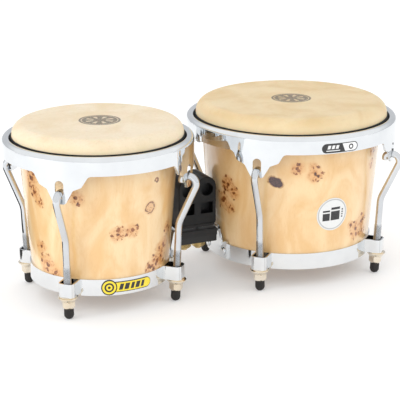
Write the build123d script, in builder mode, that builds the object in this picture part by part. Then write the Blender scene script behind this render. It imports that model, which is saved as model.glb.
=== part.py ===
"""Pair of bongo drums, small drum at -X and large drum at +X, standing on their lug feet at z = 0.

The line through both drum axes is X, the players' side is -Y, and all sizes are in millimetres.
Each drum: tapered wooden shell in a bottom ring, rawhide head over the shell, a rim that four
hooks pull down, and a nut on each hook's lower thread that bears on a lug bracket of the ring.
"""

from build123d import *
import os
from math import asin, cos, degrees, radians, sin, sqrt, tan

os.makedirs("parts", exist_ok=True)

# ---- driving dimensions: the pair ----
axis_spacing = 217.6          # between the two drum axes
small_rim_radius = 95.7
large_rim_radius = 110.6
small_shell_foot_radius = 68.9
large_shell_foot_radius = 84.0
small_ring_radius = 71.5
large_ring_radius = 86.6
lug_turn = 1.0                # each drum's lugs are turned this many degrees from 45

# ---- driving dimensions: heights above the floor ----
ring_bottom_z = 21.2
ring_top_z = 37.9
bracket_bottom_z = 24.0
bracket_top_z = 37.9
thread_top_z = 55.1
hook_bend_z = 82.1
slot_bottom_z = 127.65
slot_top_z = 143.5
skirt_bottom_z = 148.9
hoop_bottom_z = 150.7
hoop_top_z = 157.6
rim_crest_z = 166.8
small_head_top_z = 180.0
large_head_top_z = 181.5

# ---- shells and heads ----
shell_taper = 0.0805          # outward run per millimetre of height
shell_wall = 11.0
bearing_inner_radius = 0.8
bearing_gap = 0.2             # the bearing edge's bend starts this far inside the skin's
skin_thickness = 1.4
small_skin_shoulder = 11.8
large_skin_shoulder = 13.4
skin_inset = 10.2             # rim radius less skin radius
skin_end_z = 152.1

# ---- rims and bottom rings ----
rim_sheet = 2.0
rim_roll_radius = 4.65
liner_thickness = 0.6
liner_bottom_z = 159.0
liner_top_z = 167.2
hoop_skin_gap = 0.4
hoop_skirt_gap = 0.6
hoop_edge_radius = 1.5
slot_width = 8.8
ring_lip = 1.8
ring_lip_width = 9.0

# ---- hooks, nuts, washers, feet ----
rod_radius = 3.55
thread_radius = 3.95
rod_tilt = 2.75               # degrees, the lower rods lean outwards going up
foot_inset = 14.9             # rim radius less the rod's radius at the floor
hook_tip_inset = 7.5          # rim radius less the hook tip's radius
hook_tip_z = 124.1
hook_crown_overhang = 11.5    # corner of the crown bend, outside the rim
hook_bend_radii = (4.5, 7.5, 25.0)
cap_radius = 4.9
cap_dome_centre = 4.6         # along the rod, up from the floor
cap_top = 10.9
rod_end = 4.4
nut_flats = 12.0
nut_bottom = 11.2
nut_top = 18.9
nut_bore_radius = 4.25
nut_chamfer_radius = 5.0
nut_chamfer_height = 2.3
washer_bottom = 19.0
washer_radii = (7.1, 10.0)
washer_cone_height = 3.4
washer_rim_height = 0.9
washer_collar_radius = 8.6
washer_bore_radius = 4.4

# ---- lug brackets ----
bracket_width = 16.8
bracket_sheet = 2.0
bracket_nose = 6.6            # nose face, outside the rod's axis
bracket_nose_radius = 5.4

# ---- centre block, its pads, plate and bolts ----
block_width = 42.0
block_depth = 34.0
block_bottom_z = 62.1
lobe_radius = 10.8
lobe_offset = 10.2          # lobe_radius + lobe_offset is half the block's width
lobe_centre_z = 101.5
round_pocket_radius = 6.7
round_pocket_offset = 10.6
round_pocket_z = 99.1
square_pocket = (13.6, 12.0)
square_pocket_offset = 10.4
square_pocket_z = 79.6
pocket_depth = 9.0
block_edge_radius = 1.0
top_pad_bottom_z = 59.6
strap_bottom_z = 57.1
base_depth = 42.0
clamp_top_z = 50.3
clamp_bottom_z = 43.6
stud_radius = 4.0
stud_spacing = 16.4
stud_top_z = 70.1
stud_bottom_z = 31.6
stud_hole_clearance = 0.4
lock_nut_flats = 13.0
lock_nut_height = 8.0
lock_nut_chamfer_radius = 5.6
block_washer_radius = 8.5
block_washer_height = 2.0

# ---- block straps and their rivets ----
strap_sheet = 2.5
strap_half_width = 15.0
strap_foot_half_width = 22.0
strap_foot_z = (22.2, 41.1)
strap_reach = 3.2             # past the block's centre line to the bolt's far side
strap_shoulder_gap = 3.4      # the strap's upright stands this far off the block's side
strap_bend_radius = 4.0
rivet_offset = 17.0
rivet_z = 29.4
rivet_radius = 2.4
rivet_head_radius = 4.4
rivet_head_height = 2.0
rivet_end_gap = 0.3

# ---- badges ----
badge_thickness = 0.6
shell_badge_radius = 17.5
shell_badge_angle = -88.9
shell_badge_z = 78.6
rim_badge_size = (40.0, 9.6)
rim_badge_angle = -92.0
rim_badge_z = 154.5
ring_badge_disc_radius = 7.9
ring_badge_disc_angle = -104.7
ring_badge_end_angle = -68.5
ring_badge_height = 10.6
ring_badge_z = 29.6

# ---- worked out from the driving dimensions ----
overall_length = small_rim_radius + axis_spacing + large_rim_radius
small_x = -overall_length / 2 + small_rim_radius
large_x = overall_length / 2 - large_rim_radius
shell_bottom_z = ring_bottom_z + ring_lip
roll_centre_z = rim_crest_z - rim_roll_radius
block_mid_z = (block_bottom_z + lobe_centre_z) / 2

small = {
    "name": "small",
    "x": small_x,
    "rim": small_rim_radius,
    "shell_foot": small_shell_foot_radius,
    "ring": small_ring_radius,
    "turn": lug_turn,
    "block_side": 0.0,
    "head_top": small_head_top_z,
    "shoulder": small_skin_shoulder,
    "ear": [(28.3, skirt_bottom_z), (21.6, 138.0), (13.3, 134.4), (6.0, 120.6)],
}
large = {
    "name": "large",
    "x": large_x,
    "rim": large_rim_radius,
    "shell_foot": large_shell_foot_radius,
    "ring": large_ring_radius,
    "turn": -lug_turn,
    "block_side": 180.0,
    "head_top": large_head_top_z,
    "shoulder": large_skin_shoulder,
    "ear": [(26.8, skirt_bottom_z), (21.8, 139.8), (13.3, 136.3), (6.2, 124.0)],
}


def shell_radius(drum, z):
    """Outer radius of the drum's shell at height z."""
    return drum["shell_foot"] + (z - shell_bottom_z) * shell_taper


# the block stands midway between the two shells
small_side_x = small_x + shell_radius(small, block_mid_z)
large_side_x = large_x - shell_radius(large, block_mid_z)
block_x = (small_side_x + large_side_x) / 2


def axis_of(drum):
    """The drum's vertical axis."""
    return Axis((drum["x"], 0, 0), (0, 0, 1))


def section_plane(drum):
    """Half section plane: local x is the radius, local y the height."""
    return Plane(origin=(drum["x"], 0, 0), x_dir=(1, 0, 0), z_dir=(0, -1, 0))


def radial_plane(drum, angle, radius):
    """Plane facing outwards at an angle: local x runs round the drum, local y is the height."""
    out = Vector(cos(radians(angle)), sin(radians(angle)), 0)
    origin = Vector(drum["x"], 0, 0) + out * radius
    return Plane(origin=origin, x_dir=(-out.Y, out.X, 0), z_dir=out)


def lug_angles(drum):
    """Directions of the drum's four lugs, counted round from the back right one."""
    return [45 + 90 * k + drum["turn"] for k in range(4)]


def rod_frame(drum, angle):
    """Plane through a lug's rod, origin on the floor, local y up along the tilted rod."""
    out = Vector(cos(radians(angle)), sin(radians(angle)), 0)
    origin = Vector(drum["x"], 0, 0) + out * (drum["rim"] - foot_inset)
    across = out * cos(radians(rod_tilt)) - Vector(0, 0, sin(radians(rod_tilt)))
    return Plane(origin=origin, x_dir=across, z_dir=(out.Y, -out.X, 0))


def rod_section(frame, height):
    """Plane square to the rod at a height along it."""
    return Plane(origin=frame.origin + frame.y_dir * height, x_dir=frame.z_dir, z_dir=frame.y_dir)


def save(piece, name):
    """Label a finished piece and write it as its own STEP file."""
    piece.part.label = name
    export_step(piece.part, f"parts/{name}.step")


# ---- the wooden shell ----
def make_shell(drum):
    shell_top_z = drum["head_top"] - skin_thickness
    foot = shell_radius(drum, shell_bottom_z)
    crown = shell_radius(drum, shell_top_z)
    skin_bend = drum["rim"] - skin_inset - drum["shoulder"]
    bearing_edge_radius = (crown - skin_bend + bearing_gap) / (sqrt(1 + shell_taper**2) + shell_taper)
    with BuildPart() as shell:
        with BuildSketch(section_plane(drum)) as profile:
            with BuildLine():
                Polyline(
                    (foot - shell_wall, shell_bottom_z),
                    (foot, shell_bottom_z),
                    (crown, shell_top_z),
                    (crown - shell_wall, shell_top_z),
                    close=True,
                )
            make_face()
            corners = profile.vertices().group_by(Axis.Z)[-1].sort_by(Axis.X)
            fillet(corners[-1], radius=bearing_edge_radius)
            fillet(corners[0], radius=bearing_inner_radius)
        revolve(axis=axis_of(drum))
    save(shell, f"{drum['name']}_shell")


# ---- the rawhide head ----
def make_skin(drum):
    top = drum["head_top"]
    outer_bend = drum["shoulder"]
    inner_bend = outer_bend - skin_thickness
    side = drum["rim"] - skin_inset
    bend_x = side - outer_bend
    bend_z = top - outer_bend
    half_turn = sin(radians(45))
    with BuildPart() as skin:
        with BuildSketch(section_plane(drum)):
            with BuildLine():
                Line((0, top), (bend_x, top))
                ThreePointArc(
                    (bend_x, top),
                    (bend_x + outer_bend * half_turn, bend_z + outer_bend * half_turn),
                    (side, bend_z),
                )
                Line((side, bend_z), (side, skin_end_z))
                Line((side, skin_end_z), (side - skin_thickness, skin_end_z))
                Line((side - skin_thickness, skin_end_z), (side - skin_thickness, bend_z))
                ThreePointArc(
                    (side - skin_thickness, bend_z),
                    (bend_x + inner_bend * half_turn, bend_z + inner_bend * half_turn),
                    (bend_x, top - skin_thickness),
                )
                Line((bend_x, top - skin_thickness), (0, top - skin_thickness))
                Line((0, top - skin_thickness), (0, top))
            make_face()
        revolve(axis=axis_of(drum))
    save(skin, f"{drum['name']}_head_skin")


# ---- the hoop that the skin is lapped round, under the rim ----
def make_flesh_hoop(drum):
    inner = drum["rim"] - skin_inset + hoop_skin_gap
    outer = drum["rim"] - rim_sheet - hoop_skirt_gap
    with BuildPart() as hoop:
        with BuildSketch(section_plane(drum)) as profile:
            with Locations(((inner + outer) / 2, (hoop_bottom_z + hoop_top_z) / 2)):
                Rectangle(outer - inner, hoop_top_z - hoop_bottom_z)
            fillet(profile.vertices(), radius=hoop_edge_radius)
        revolve(axis=axis_of(drum))
    save(hoop, f"{drum['name']}_flesh_hoop")


# ---- the rim: rolled top, deep skirt and four slotted ears ----
def ear_outline(drum):
    """Half outline of one ear, from the skirt to the tip, as (round the drum, height) and fillets."""
    top = [(36.0, skirt_bottom_z + 2.0), (36.0, skirt_bottom_z)]
    return list(zip(top + drum["ear"], (0.0, 0.0, 5.0, 2.2, 3.0, 4.2)))


def make_ears(drum):
    half = ear_outline(drum)
    tip_z = half[-1][0][1]
    points = [p for p, _ in half] + [(-p[0], p[1]) for p, _ in reversed(half)]
    radii = [r for _, r in half] + [r for _, r in reversed(half)]
    slot_height = slot_top_z - slot_bottom_z
    with BuildPart() as ears:
        for angle in lug_angles(drum):
            with BuildSketch(radial_plane(drum, angle, drum["rim"] - 8.0)):
                with BuildLine():
                    FilletPolyline(*points, radius=radii, close=True)
                make_face()
                with Locations((0, (slot_bottom_z + slot_top_z) / 2)):
                    SlotOverall(slot_height, slot_width, rotation=90, mode=Mode.SUBTRACT)
            extrude(amount=12.0)
        with BuildSketch(Plane(origin=(drum["x"], 0, tip_z - 2.0))):
            Circle(drum["rim"])
            Circle(drum["rim"] - rim_sheet, mode=Mode.SUBTRACT)
        extrude(amount=skirt_bottom_z - tip_z + 4.0, mode=Mode.INTERSECT)
    return ears.part


def make_rim(drum, recess=None):
    outer = drum["rim"]
    lip = outer - 2 * rim_roll_radius
    roll_x = outer - rim_roll_radius
    inner_roll = rim_roll_radius - rim_sheet
    ears = make_ears(drum)
    with BuildPart() as rim:
        with BuildSketch(section_plane(drum)):
            with BuildLine():
                Line((outer, skirt_bottom_z), (outer, roll_centre_z))
                ThreePointArc((outer, roll_centre_z), (roll_x, rim_crest_z), (lip, roll_centre_z))
                Line((lip, roll_centre_z), (lip, hoop_top_z))
                Line((lip, hoop_top_z), (lip + rim_sheet, hoop_top_z))
                Line((lip + rim_sheet, hoop_top_z), (lip + rim_sheet, roll_centre_z))
                ThreePointArc(
                    (lip + rim_sheet, roll_centre_z),
                    (roll_x, roll_centre_z + inner_roll),
                    (outer - rim_sheet, roll_centre_z),
                )
                Line((outer - rim_sheet, roll_centre_z), (outer - rim_sheet, skirt_bottom_z))
                Line((outer - rim_sheet, skirt_bottom_z), (outer, skirt_bottom_z))
            make_face()
        revolve(axis=axis_of(drum))
        add(ears)
        if recess is not None:
            add(recess, mode=Mode.SUBTRACT)
    save(rim, f"{drum['name']}_rim")


# ---- thin rubber liner inside the rim's rolled edge ----
def make_liner(drum):
    outer = drum["rim"] - 2 * rim_roll_radius
    with BuildPart() as liner:
        with BuildSketch(section_plane(drum)) as profile:
            with Locations((outer - liner_thickness / 2, (liner_bottom_z + liner_top_z) / 2)):
                Rectangle(liner_thickness, liner_top_z - liner_bottom_z)
            fillet(profile.vertices().group_by(Axis.Z)[-1], radius=liner_thickness * 0.4)
        revolve(axis=axis_of(drum))
    save(liner, f"{drum['name']}_rim_liner")


# ---- hooks: one bent rod each, threaded at the lower end ----
def make_hook(drum, number, angle):
    frame = rod_frame(drum, angle)
    bend_r = drum["rim"] - foot_inset + hook_bend_z * tan(radians(rod_tilt))
    plane = Plane(origin=(drum["x"], 0, 0), x_dir=(cos(radians(angle)), sin(radians(angle)), 0), z_dir=frame.z_dir)
    crown_z = slot_bottom_z + rod_radius
    end_z = thread_top_z - 2.0
    end_r = drum["rim"] - foot_inset + end_z * tan(radians(rod_tilt))
    tip_r = drum["rim"] - hook_tip_inset
    crown_r = drum["rim"] + hook_crown_overhang
    with BuildPart() as hook:
        with BuildLine(plane) as path:
            FilletPolyline(
                (tip_r, hook_tip_z),
                (tip_r, crown_z),
                (crown_r, crown_z),
                (bend_r, hook_bend_z),
                (end_r, end_z),
                radius=list(hook_bend_radii),
            )
        with BuildSketch(Plane(origin=path.line @ 0, z_dir=path.line % 0)):
            Circle(rod_radius)
        sweep(path=path.line)
        with BuildSketch(rod_section(frame, rod_end)):
            Circle(thread_radius)
        extrude(amount=thread_top_z - rod_end)
        chamfer(hook.faces().sort_by(Axis.Z)[0].edges(), length=0.8)
    save(hook, f"{drum['name']}_hook_{number}")


# ---- tuning nuts ----
def hex_nut(frame, bottom, top, flats, bore, flat_radius, slope):
    """A nut on the frame's upright axis, bevelled from flat_radius at its lower face."""
    corner = flats / 2 / cos(radians(30)) + 0.1
    with BuildPart() as nut:
        with BuildSketch(rod_section(frame, bottom)):
            RegularPolygon(flats / 2, 6, major_radius=False)
            Circle(bore, mode=Mode.SUBTRACT)
        extrude(amount=top - bottom)
        with BuildSketch(frame):
            with BuildLine():
                Polyline(
                    (0, bottom),
                    (flat_radius, bottom),
                    (corner, bottom + slope),
                    (corner, top - 0.6),
                    (corner - 0.9, top),
                    (0, top),
                    close=True,
                )
            make_face()
        revolve(axis=Axis(frame.origin, frame.y_dir), mode=Mode.INTERSECT)
    return nut.part


def make_nut(drum, number, angle):
    frame = rod_frame(drum, angle)
    shape = hex_nut(
        frame, nut_bottom, nut_top, nut_flats, nut_bore_radius, nut_chamfer_radius, nut_chamfer_height
    )
    with BuildPart() as nut:
        add(shape)
    save(nut, f"{drum['name']}_nut_{number}")


# ---- dished washers between the nuts and the brackets ----
def make_washers(drum):
    low, wide = washer_radii
    edge = washer_bottom + washer_cone_height
    over = bracket_bottom_z + 2.0
    with BuildPart() as washers:
        for angle in lug_angles(drum):
            frame = rod_frame(drum, angle)
            with BuildSketch(frame):
                with BuildLine():
                    Polyline(
                        (washer_bore_radius, washer_bottom),
                        (low, washer_bottom),
                        (wide, edge),
                        (wide, edge + washer_rim_height),
                        (washer_collar_radius, edge + washer_rim_height),
                        (washer_collar_radius, over),
                        (washer_bore_radius, over),
                        close=True,
                    )
                make_face()
            revolve(axis=Axis(frame.origin, frame.y_dir))
        split(bisect_by=Plane.XY.offset(bracket_bottom_z), keep=Keep.BOTTOM)
    save(washers, f"{drum['name']}_washers")


# ---- rubber caps on the rod ends: the feet ----
def make_caps(drum):
    with BuildPart() as caps:
        for angle in lug_angles(drum):
            frame = rod_frame(drum, angle)
            axis = Axis(frame.origin, frame.y_dir)
            with BuildSketch(frame):
                with BuildLine():
                    Line((0, cap_dome_centre - cap_radius), (0, cap_top))
                    Line((0, cap_top), (cap_radius - 0.15, cap_top))
                    Line((cap_radius - 0.15, cap_top), (cap_radius, cap_dome_centre))
                    ThreePointArc(
                        (cap_radius, cap_dome_centre),
                        (cap_radius * sin(radians(45)), cap_dome_centre - cap_radius * sin(radians(45))),
                        (0, cap_dome_centre - cap_radius),
                    )
                make_face()
            revolve(axis=axis)
            with BuildSketch(rod_section(frame, rod_end)):
                Circle(thread_radius)
            extrude(amount=cap_top - rod_end, mode=Mode.SUBTRACT)
        split(bisect_by=Plane.XY, keep=Keep.TOP)
    save(caps, f"{drum['name']}_rubber_caps")


# ---- the bottom ring that carries the shell ----
def rivet_angles(drum):
    """Directions of the two rivets of the drum's block strap."""
    swing = degrees(asin(rivet_offset / (drum["ring"] + strap_sheet)))
    return [drum["block_side"] - swing, drum["block_side"] + swing]


def make_bottom_ring(drum):
    outer = drum["ring"]
    with BuildPart() as ring:
        with BuildSketch(section_plane(drum)):
            with BuildLine():
                Polyline(
                    (outer, ring_bottom_z),
                    (outer, ring_top_z),
                    (shell_radius(drum, ring_top_z), ring_top_z),
                    (shell_radius(drum, shell_bottom_z), shell_bottom_z),
                    (outer - ring_lip_width, shell_bottom_z),
                    (outer - ring_lip_width, ring_bottom_z),
                    close=True,
                )
            make_face()
        revolve(axis=axis_of(drum))
        for angle in rivet_angles(drum):
            with BuildSketch(radial_plane(drum, angle, outer - 6.0)):
                with Locations((0, rivet_z)):
                    Circle(rivet_radius)
            extrude(amount=12.0, mode=Mode.SUBTRACT)
    save(ring, f"{drum['name']}_bottom_ring")


# ---- strap brackets on the ring that the nuts pull against ----
def make_brackets(drum):
    rod_r = drum["rim"] - foot_inset + bracket_top_z * tan(radians(rod_tilt))
    nose = rod_r + bracket_nose
    start = drum["ring"] - 6.0
    with BuildPart() as brackets:
        for angle in lug_angles(drum):
            out = (cos(radians(angle)), sin(radians(angle)), 0)
            with BuildSketch(Plane(origin=(drum["x"], 0, bracket_bottom_z), x_dir=out, z_dir=(0, 0, 1))):
                with BuildLine():
                    FilletPolyline(
                        (start, -bracket_width / 2),
                        (nose, -bracket_width / 2),
                        (nose, bracket_width / 2),
                        (start, bracket_width / 2),
                        radius=[0.0, bracket_nose_radius, bracket_nose_radius, 0.0],
                        close=True,
                    )
                make_face()
                inner = bracket_width / 2 - bracket_sheet
                with BuildLine():
                    FilletPolyline(
                        (start, -inner),
                        (nose - bracket_sheet, -inner),
                        (nose - bracket_sheet, inner),
                        (start, inner),
                        radius=[0.0, bracket_nose_radius - bracket_sheet, bracket_nose_radius - bracket_sheet, 0.0],
                        close=True,
                    )
                make_face(mode=Mode.SUBTRACT)
                Circle(drum["ring"], mode=Mode.SUBTRACT)
            extrude(amount=bracket_top_z - bracket_bottom_z)
    save(brackets, f"{drum['name']}_lug_brackets")


# ---- steel strap from the bottom ring up to the block's base ----
def make_strap(drum):
    side = cos(radians(drum["block_side"]))
    ring_face = drum["ring"]
    block_reach = side * (block_x - drum["x"])
    upright = block_reach - block_width / 2 - strap_shoulder_gap
    stud_reach = block_reach - stud_spacing / 2
    swing = degrees(asin(strap_foot_half_width / ring_face))
    plane = Plane(origin=(drum["x"], strap_half_width, 0), x_dir=(side, 0, 0), z_dir=(0, -side, 0))
    with BuildPart() as strap:
        with BuildSketch(section_plane(drum)):
            with Locations((ring_face + strap_sheet / 2, (strap_foot_z[0] + strap_foot_z[1]) / 2)):
                Rectangle(strap_sheet, strap_foot_z[1] - strap_foot_z[0])
        start = Axis((drum["x"], 0, 0), (0, 0, 1))
        revolve(axis=start, revolution_arc=2 * swing)
    foot = strap.part.rotate(start, drum["block_side"] - swing)
    centre = ring_face + strap_sheet / 2
    flange_z = strap_bottom_z + strap_sheet / 2
    with BuildPart() as strap:
        with BuildSketch(Plane.XZ.offset(-strap_half_width)):
            with BuildLine():
                FilletPolyline(
                    (drum["x"] + side * centre, ring_top_z - 3.0),
                    (drum["x"] + side * centre, strap_foot_z[1] - 1.0),
                    (drum["x"] + side * upright, flange_z),
                    (drum["x"] + side * (stud_reach + strap_reach + stud_radius), flange_z),
                    radius=strap_bend_radius,
                )
            trace(line_width=strap_sheet)
        extrude(amount=2 * strap_half_width)
        add(foot)
        with BuildSketch(Plane.XY.offset(strap_bottom_z - 1.0)):
            with Locations((drum["x"] + side * stud_reach, 0)):
                Circle(stud_radius + stud_hole_clearance)
        extrude(amount=strap_sheet + 2.0, mode=Mode.SUBTRACT)
        for angle in rivet_angles(drum):
            with BuildSketch(radial_plane(drum, angle, ring_face - 6.0)):
                with Locations((0, rivet_z)):
                    Circle(rivet_radius)
            extrude(amount=12.0, mode=Mode.SUBTRACT)
    save(strap, f"{drum['name']}_block_strap")


def make_rivets(drum):
    root = shell_radius(drum, rivet_z) + rivet_end_gap
    face = drum["ring"] + strap_sheet
    with BuildPart() as rivets:
        for angle in rivet_angles(drum):
            with BuildSketch(radial_plane(drum, angle, root)):
                with Locations((0, rivet_z)):
                    Circle(rivet_radius)
            extrude(amount=face - root)
            with BuildSketch(radial_plane(drum, angle, face)):
                with Locations((0, rivet_z)):
                    Circle(rivet_head_radius)
            extrude(amount=rivet_head_height)
            tip = radial_plane(drum, angle, face + rivet_head_height).origin + Vector(0, 0, rivet_z)
            crown = rivets.faces().filter_by(GeomType.PLANE).sort_by_distance(tip)[0]
            fillet(crown.edges(), radius=rivet_head_height * 0.85)
    save(rivets, f"{drum['name']}_strap_rivets")


# ---- the centre block ----
def stud_places():
    """The two studs stand on the block's centre line."""
    return [(block_x - stud_spacing / 2, 0), (block_x + stud_spacing / 2, 0)]


def make_block():
    top_mid = lobe_centre_z
    half = block_width / 2
    valley_z = top_mid + sqrt(lobe_radius**2 - lobe_offset**2)
    front = Plane(origin=(0, -block_depth / 2, 0), x_dir=(1, 0, 0), z_dir=(0, -1, 0))
    with BuildPart() as block:
        with BuildSketch(front) as outline:
            with BuildLine():
                Line((block_x + half, top_mid), (block_x + half, block_bottom_z))
                Line((block_x + half, block_bottom_z), (block_x - half, block_bottom_z))
                Line((block_x - half, block_bottom_z), (block_x - half, top_mid))
                ThreePointArc(
                    (block_x - half, top_mid),
                    (block_x - lobe_offset, top_mid + lobe_radius),
                    (block_x, valley_z),
                )
                ThreePointArc(
                    (block_x, valley_z),
                    (block_x + lobe_offset, top_mid + lobe_radius),
                    (block_x + half, top_mid),
                )
            make_face()
            valley = outline.vertices().sort_by_distance((block_x, -block_depth / 2, valley_z))[0]
            fillet(valley, radius=1.5)
        extrude(amount=-block_depth)
        fillet(block.faces().filter_by(Axis.Y).sort_by(Axis.Y)[0].edges(), radius=block_edge_radius)
        fillet(block.faces().filter_by(Axis.Y).sort_by(Axis.Y)[-1].edges(), radius=block_edge_radius)
        for side in (1, -1):
            face_plane = Plane(origin=(0, -side * block_depth / 2, 0), x_dir=(1, 0, 0), z_dir=(0, -1, 0))
            with BuildSketch(face_plane):
                with Locations((block_x - round_pocket_offset, round_pocket_z)):
                    Circle(round_pocket_radius)
                with Locations((block_x + round_pocket_offset, round_pocket_z)):
                    Circle(round_pocket_radius)
                with Locations((block_x - square_pocket_offset, square_pocket_z)):
                    Rectangle(*square_pocket)
                with Locations((block_x + square_pocket_offset, square_pocket_z)):
                    Rectangle(*square_pocket)
            extrude(amount=-side * pocket_depth, mode=Mode.SUBTRACT)
        with BuildSketch(Plane.XY.offset(block_bottom_z)):
            with Locations(*stud_places()):
                Circle(stud_radius)
        extrude(amount=stud_top_z - block_bottom_z, mode=Mode.SUBTRACT)
    save(block, "block_body")


def make_slab(name, bottom_z, top_z, width, depth):
    """A flat piece of the stack under the block, with clearance holes for both studs."""
    with BuildPart() as slab:
        with BuildSketch(Plane.XY.offset(bottom_z)):
            with Locations((block_x, 0)):
                RectangleRounded(width, depth, 1.5)
            with Locations(*stud_places()):
                Circle(stud_radius + stud_hole_clearance, mode=Mode.SUBTRACT)
        extrude(amount=top_z - bottom_z)
    save(slab, name)


def make_studs():
    with BuildPart() as studs:
        with BuildSketch(Plane.XY.offset(stud_bottom_z)):
            with Locations(*stud_places()):
                Circle(stud_radius)
        extrude(amount=stud_top_z - stud_bottom_z)
        chamfer(studs.faces().group_by(Axis.Z)[0].edges(), length=0.8)
    save(studs, "block_studs")


def make_lock_nuts():
    top = clamp_bottom_z - block_washer_height
    bottom = top - lock_nut_height
    shapes = []
    for x, y in stud_places():
        frame = Plane(origin=(x, y, 0), x_dir=(1, 0, 0), z_dir=(0, -1, 0))
        shapes.append(hex_nut(frame, bottom, top, lock_nut_flats, stud_radius, lock_nut_chamfer_radius, 1.6))
    with BuildPart() as lock_nuts:
        add(shapes)
    save(lock_nuts, "block_lock_nuts")


def make_block_washers():
    with BuildPart() as block_washers:
        with BuildSketch(Plane.XY.offset(clamp_bottom_z - block_washer_height)):
            with Locations(*stud_places()):
                Circle(block_washer_radius - 0.5)
                Circle(stud_radius, mode=Mode.SUBTRACT)
        extrude(amount=block_washer_height)
    save(block_washers, "block_washers")


# ---- badges ----
def make_shell_badge(drum):
    low = shell_badge_z - shell_badge_radius - 2
    high = shell_badge_z + shell_badge_radius + 2
    with BuildPart() as badge:
        with BuildSketch(radial_plane(drum, shell_badge_angle, drum["shell_foot"] - 6.0)):
            with Locations((0, shell_badge_z)):
                Circle(shell_badge_radius)
        extrude(amount=20.0)
        with BuildSketch(section_plane(drum)):
            with BuildLine():
                Polyline(
                    (shell_radius(drum, low), low),
                    (shell_radius(drum, low) + badge_thickness, low),
                    (shell_radius(drum, high) + badge_thickness, high),
                    (shell_radius(drum, high), high),
                    close=True,
                )
            make_face()
        revolve(axis=axis_of(drum), mode=Mode.INTERSECT)
    save(badge, f"{drum['name']}_shell_badge")


def make_rim_badge(drum):
    """A pill let into the rim's skirt, flush with it."""
    with BuildPart() as badge:
        with BuildSketch(radial_plane(drum, rim_badge_angle, drum["rim"] - 6.0)):
            with Locations((0, rim_badge_z)):
                SlotOverall(*rim_badge_size)
        extrude(amount=12.0)
        with BuildSketch(Plane(origin=(drum["x"], 0, skirt_bottom_z))):
            Circle(drum["rim"])
            Circle(drum["rim"] - badge_thickness, mode=Mode.SUBTRACT)
        extrude(amount=20.0, mode=Mode.INTERSECT)
    save(badge, f"{drum['name']}_rim_badge")
    return badge.part


def make_ring_badge(drum):
    """A disc with a pill running out of it, on the face of the bottom ring."""
    pill_angle = (ring_badge_disc_angle + ring_badge_end_angle) / 2
    half_run = drum["ring"] * sin(radians((ring_badge_end_angle - ring_badge_disc_angle) / 2))
    with BuildPart() as badge:
        with BuildSketch(radial_plane(drum, ring_badge_disc_angle, drum["ring"] - 6.0)):
            with Locations((0, ring_badge_z)):
                Circle(ring_badge_disc_radius)
        extrude(amount=12.0)
        with BuildSketch(radial_plane(drum, pill_angle, drum["ring"] - 15.0)):
            with Locations((0, ring_badge_z)):
                SlotOverall(2 * half_run, ring_badge_height)
        extrude(amount=22.0)
        with BuildSketch(Plane(origin=(drum["x"], 0, ring_bottom_z))):
            Circle(drum["ring"] + badge_thickness)
            Circle(drum["ring"], mode=Mode.SUBTRACT)
        extrude(amount=ring_top_z - ring_bottom_z, mode=Mode.INTERSECT)
    save(badge, f"{drum['name']}_ring_badge")


# ---- build everything ----
make_shell_badge(large)
make_ring_badge(small)
rim_recess = make_rim_badge(large)

for drum in (small, large):
    make_shell(drum)
    make_skin(drum)
    make_flesh_hoop(drum)
    make_rim(drum, rim_recess if drum is large else None)
    make_liner(drum)
    for number, angle in enumerate(lug_angles(drum), start=1):
        make_hook(drum, number, angle)
        make_nut(drum, number, angle)
    make_washers(drum)
    make_caps(drum)
    make_bottom_ring(drum)
    make_brackets(drum)
    make_strap(drum)
    make_rivets(drum)

make_block()
make_slab("block_top_pad", top_pad_bottom_z, block_bottom_z, block_width - 2.0, block_depth - 1.0)
make_slab("block_base_pad", clamp_top_z, strap_bottom_z, block_width, base_depth)
make_slab("block_clamp_plate", clamp_bottom_z, clamp_top_z, block_width - 1.0, base_depth - 1.0)
make_studs()
make_lock_nuts()
make_block_washers()

print(f"drum axes at x = {small_x:.2f} and {large_x:.2f}, block at x = {block_x:.2f}")
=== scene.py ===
"""Pair of bongo drums: materials, detailed pieces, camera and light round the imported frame.

Everything is in metres in the row frame: X runs from the small drum to the large one,
the badge side is -Y, Z is up and the floor is at zero.
"""

import math

import bpy
from mathutils import Matrix, Vector, noise


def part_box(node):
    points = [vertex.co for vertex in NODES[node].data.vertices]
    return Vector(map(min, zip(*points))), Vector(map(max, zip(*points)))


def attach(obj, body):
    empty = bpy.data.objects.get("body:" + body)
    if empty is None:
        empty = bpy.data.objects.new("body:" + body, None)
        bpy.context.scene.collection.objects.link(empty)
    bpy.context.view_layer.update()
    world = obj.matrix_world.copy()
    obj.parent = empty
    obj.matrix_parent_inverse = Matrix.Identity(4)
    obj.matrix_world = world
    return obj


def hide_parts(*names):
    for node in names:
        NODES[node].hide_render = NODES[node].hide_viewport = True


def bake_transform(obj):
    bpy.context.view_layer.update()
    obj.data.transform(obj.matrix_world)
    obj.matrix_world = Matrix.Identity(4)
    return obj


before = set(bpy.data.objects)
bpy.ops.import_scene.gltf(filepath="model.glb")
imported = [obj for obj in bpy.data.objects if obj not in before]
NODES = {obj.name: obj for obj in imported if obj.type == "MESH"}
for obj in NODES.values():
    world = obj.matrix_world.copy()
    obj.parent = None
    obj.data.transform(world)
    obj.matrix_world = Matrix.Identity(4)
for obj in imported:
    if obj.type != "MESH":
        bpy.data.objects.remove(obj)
bpy.context.view_layer.update()

MM = 0.001

# ---- camera ----
CAMERA_AZIMUTH = -25.07
CAMERA_ELEVATION = 16.91
CAMERA_DISTANCE = 1.5029
CAMERA_LENS = 129.95
CAMERA_TARGET = Vector((-0.00447, 0.0, 0.08296))
AZIMUTH = math.radians(CAMERA_AZIMUTH)
CAMERA_RIGHT = Vector((math.cos(AZIMUTH), math.sin(AZIMUTH), 0.0))
CAMERA_AHEAD = Vector((-math.sin(AZIMUTH), math.cos(AZIMUTH), 0.0))

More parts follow.
